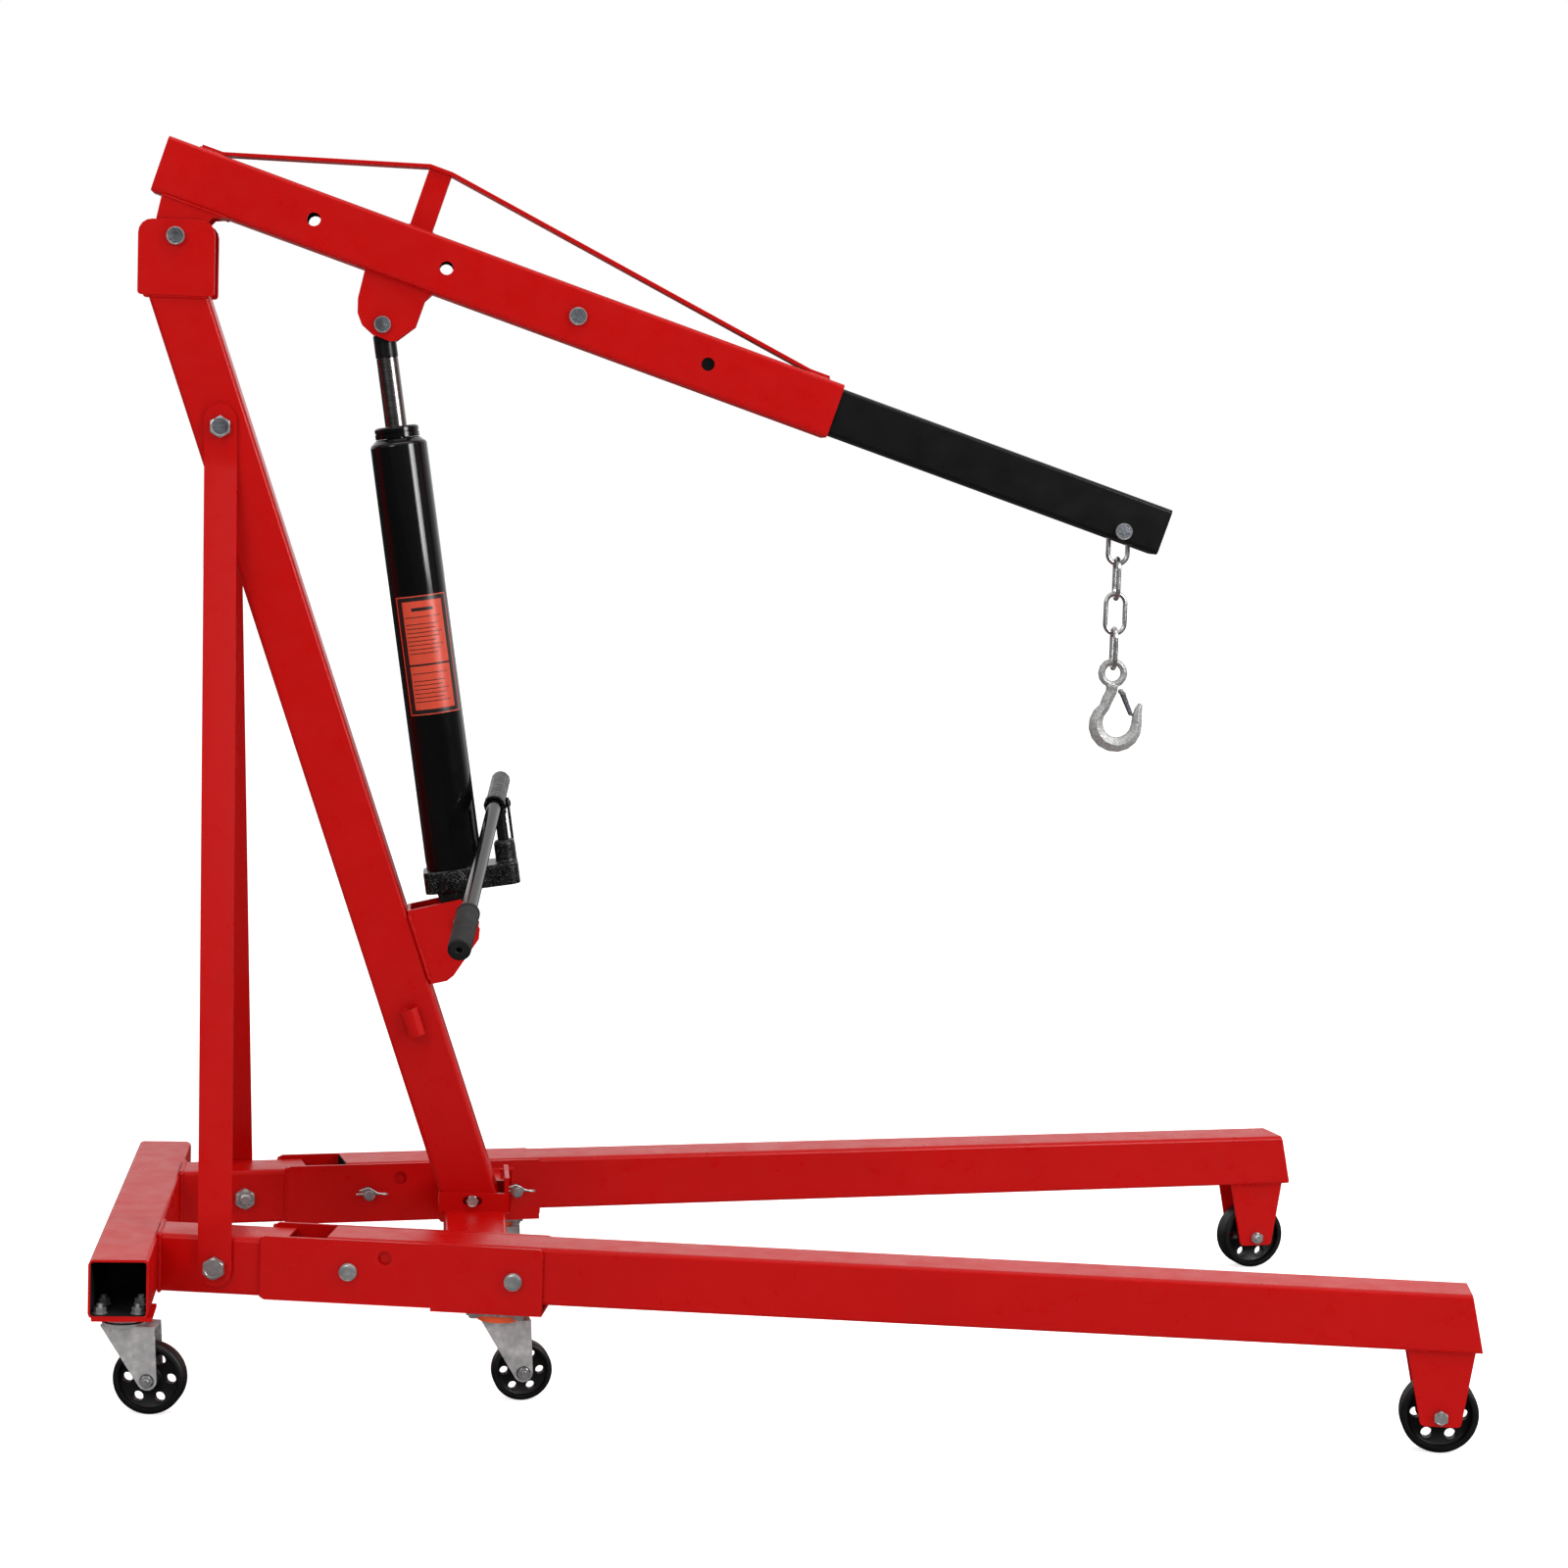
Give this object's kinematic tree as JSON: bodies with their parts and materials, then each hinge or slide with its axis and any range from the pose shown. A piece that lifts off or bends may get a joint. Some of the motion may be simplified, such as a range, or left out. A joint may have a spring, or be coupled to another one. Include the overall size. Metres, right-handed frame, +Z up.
{
  "type": "engine hoist crane",
  "caption": "Folding wheeled shop crane: splayed square-tube legs, leaning mast, telescopic boom, hand-pumped ram, chain and latched hook.",
  "frame": {"origin": "on the floor, half way between the rear face of the crossbeam and the leg tips, in the middle plane of the hoist", "axes": "+X forward towards the leg tips, +Y to the left, +Z up"},
  "size_m": [1.6344, 1.0062, 1.5124],
  "materials": {
    "red_paint": "semi-gloss red enamel",
    "black_paint": "gloss black enamel",
    "cast_iron": "black-painted rough casting",
    "bright_zinc": "bright zinc plate",
    "chrome": "hard chrome",
    "black_wheel": "moulded black",
    "grip_rubber": "matte dark grey"
  },
  "bodies": {
    "root": {"rear_crossbeam": "red_paint", "left_leg_socket": "red_paint", "right_leg_socket": "red_paint", "cross_member": "red_paint", "mast_column": "red_paint", "handle_holder": "red_paint", "mast_head_plate_left": "red_paint", "mast_head_plate_right": "red_paint", "boom_pivot_bolt": "bright_zinc", "left_strut": "red_paint", "right_strut": "red_paint", "strut_top_bolt": "bright_zinc", "left_strut_bolt": "bright_zinc", "right_strut_bolt": "bright_zinc", "jack_bracket": "red_paint", "jack_base_pin": "bright_zinc", "left_leg_pivot_pin": "bright_zinc", "right_leg_pivot_pin": "bright_zinc", "left_lock_pin": "bright_zinc", "right_lock_pin": "bright_zinc", "left_lock_pin_clip": "bright_zinc", "right_lock_pin_clip": "bright_zinc"},
    "boom": {"boom_tube": "red_paint", "boom_strap": "red_paint", "jack_lug": "red_paint", "ram_pin_head": "bright_zinc", "ram_pin_nut": "bright_zinc", "boom_pin": "bright_zinc"},
    "extension": {"boom_extension": "black_paint", "tip_bolt": "bright_zinc"},
    "link_1": {"chain_link_1": "bright_zinc"},
    "link_2": {"chain_link_2": "bright_zinc"},
    "link_3": {"chain_link_3": "bright_zinc"},
    "link_4": {"chain_link_4": "bright_zinc"},
    "hook": {"lifting_hook": "bright_zinc"},
    "latch": {"hook_latch": "bright_zinc"},
    "jack": {"jack_base": "cast_iron", "jack_cylinder": "black_paint", "jack_gland_nut": "black_paint"},
    "ram": {"ram_rod": "chrome", "ram_eye": "black_paint"},
    "valve": {"release_valve": "bright_zinc"},
    "plunger": {"pump_plunger": "chrome"},
    "handle": {"handle_socket": "cast_iron", "pump_handle": "black_paint", "handle_grip": "grip_rubber"},
    "left_leg": {"left_leg": "red_paint", "left_front_axle": "bright_zinc"},
    "left_front_wheel": {"left_front_wheel": "black_wheel"},
    "rear_left_caster": {"rear_left_caster_fork": "bright_zinc"},
    "rear_left_wheel": {"rear_left_caster_wheel": "black_wheel"},
    "middle_left_caster": {"middle_left_caster_fork": "bright_zinc"},
    "middle_left_wheel": {"middle_left_caster_wheel": "black_wheel"},
    "right_leg": {"right_leg": "red_paint", "right_front_axle": "bright_zinc"},
    "right_front_wheel": {"right_front_wheel": "black_wheel"},
    "rear_right_caster": {"rear_right_caster_fork": "bright_zinc"},
    "rear_right_wheel": {"rear_right_caster_wheel": "black_wheel"},
    "middle_right_caster": {"middle_right_caster_fork": "bright_zinc"},
    "middle_right_wheel": {"middle_right_caster_wheel": "black_wheel"}
  },
  "joints": [
    {"name": "boom_lift", "type": "hinge", "parent": "root", "child": "boom", "pos_m": [-0.75805, 0, 1.391], "axis": [0, -1, 0], "range_deg": [-15, 55]},
    {"name": "extension_slide", "type": "slide", "parent": "boom", "child": "extension", "axis": [0.9511, 0, -0.309], "range_m": [-0.344, 0.172]},
    {"name": "chain_swing", "type": "hinge", "parent": "extension", "child": "link_1", "pos_m": [0.43552, 0, 1.06659], "axis": [0, -1, 0], "range_deg": [-55, 15]},
    {"name": "link_2_swing", "type": "hinge", "parent": "link_1", "child": "link_2", "pos_m": [0.43552, 0, 1.02439], "axis": [1, 0, 0], "range_deg": [-35, 35]},
    {"name": "link_3_swing", "type": "hinge", "parent": "link_2", "child": "link_3", "pos_m": [0.43552, 0, 0.97969], "axis": [0, 1, 0], "range_deg": [-35, 35]},
    {"name": "link_4_swing", "type": "hinge", "parent": "link_3", "child": "link_4", "pos_m": [0.43552, 0, 0.93499], "axis": [1, 0, 0], "range_deg": [-35, 35]},
    {"name": "hook_swing", "type": "hinge", "parent": "link_4", "child": "hook", "pos_m": [0.43552, 0, 0.89029], "axis": [0, 1, 0], "range_deg": [-35, 35]},
    {"name": "latch_open", "type": "hinge", "parent": "hook", "child": "latch", "pos_m": [0.44852, 0, 0.86039], "axis": [0, 1, 0], "range_deg": [0, 35], "stiffness_Nm_per_rad": 0.05},
    {"name": "jack_swing", "type": "hinge", "parent": "root", "child": "jack", "pos_m": [-0.39055, 0, 0.55], "axis": [0, -1, 0], "range_deg": [-1.8, 0.6]},
    {"name": "ram_slide", "type": "slide", "parent": "jack", "child": "ram", "axis": [-0.1528, 0, 0.9883], "range_m": [-0.069, 0.251]},
    {"name": "release_turn", "type": "hinge", "parent": "jack", "child": "valve", "pos_m": [-0.40119, 0, 0.60249], "axis": [0, 1, 0], "range_deg": [0, 270]},
    {"name": "pump_stroke", "type": "hinge", "parent": "jack", "child": "handle", "pos_m": [-0.34135, 0.034, 0.69522], "axis": [-0.9883, 0, -0.1528], "range_deg": [-10, 40]},
    {"name": "plunger_slide", "type": "slide", "parent": "jack", "child": "plunger", "axis": [-0.1528, 0, 0.9883], "range_m": [-0.0075, 0.0285]},
    {"name": "left_leg_fold", "type": "hinge", "parent": "root", "child": "left_leg", "pos_m": [-0.51155, 0.219, 0.157], "axis": [0.1857, -0.9826, 0], "range_deg": [0, 90]},
    {"name": "left_front_wheel_spin", "type": "hinge", "parent": "left_leg", "child": "left_front_wheel", "pos_m": [0.76781, 0.46074, 0.046], "axis": [-0.1857, 0.9826, 0], "continuous": true},
    {"name": "rear_left_caster_swivel", "type": "hinge", "parent": "root", "child": "rear_left_caster", "pos_m": [-0.77855, 0.309, 0.1], "axis": [0, 0, 1], "continuous": true},
    {"name": "rear_left_wheel_spin", "type": "hinge", "parent": "rear_left_caster", "child": "rear_left_wheel", "pos_m": [-0.74686, 0.31345, 0.0427], "axis": [-0.1392, 0.9903, 0], "continuous": true},
    {"name": "middle_left_caster_swivel", "type": "hinge", "parent": "root", "child": "middle_left_caster", "pos_m": [-0.33664, 0.25205, 0.1], "axis": [0, 0, 1], "continuous": true},
    {"name": "middle_left_wheel_spin", "type": "hinge", "parent": "middle_left_caster", "child": "middle_left_wheel", "pos_m": [-0.3088, 0.24912, 0.0363], "axis": [0.1045, 0.9945, 0], "continuous": true},
    {"name": "right_leg_fold", "type": "hinge", "parent": "root", "child": "right_leg", "pos_m": [-0.51155, -0.219, 0.157], "axis": [-0.1857, -0.9826, 0], "range_deg": [0, 65]},
    {"name": "right_front_wheel_spin", "type": "hinge", "parent": "right_leg", "child": "right_front_wheel", "pos_m": [0.76781, -0.46074, 0.046], "axis": [0.1857, 0.9826, 0], "continuous": true},
    {"name": "rear_right_caster_swivel", "type": "hinge", "parent": "root", "child": "rear_right_caster", "pos_m": [-0.77855, -0.309, 0.1], "axis": [0, 0, 1], "continuous": true},
    {"name": "rear_right_wheel_spin", "type": "hinge", "parent": "rear_right_caster", "child": "rear_right_wheel", "pos_m": [-0.74686, -0.31345, 0.0427], "axis": [0.1392, 0.9903, 0], "continuous": true},
    {"name": "middle_right_caster_swivel", "type": "hinge", "parent": "root", "child": "middle_right_caster", "pos_m": [-0.33664, -0.25205, 0.1], "axis": [0, 0, 1], "continuous": true},
    {"name": "middle_right_wheel_spin", "type": "hinge", "parent": "middle_right_caster", "child": "middle_right_wheel", "pos_m": [-0.3088, -0.24912, 0.0363], "axis": [-0.1045, 0.9945, 0], "continuous": true}
  ],
  "couplings": [
    {"joint": "jack_swing", "follows": "boom_lift", "ratio": -0.03},
    {"joint": "ram_slide", "follows": "boom_lift", "m_per_rad": 0.26},
    {"joint": "chain_swing", "follows": "boom_lift", "ratio": -1},
    {"joint": "plunger_slide", "follows": "pump_stroke", "m_per_rad": 0.04}
  ]
}
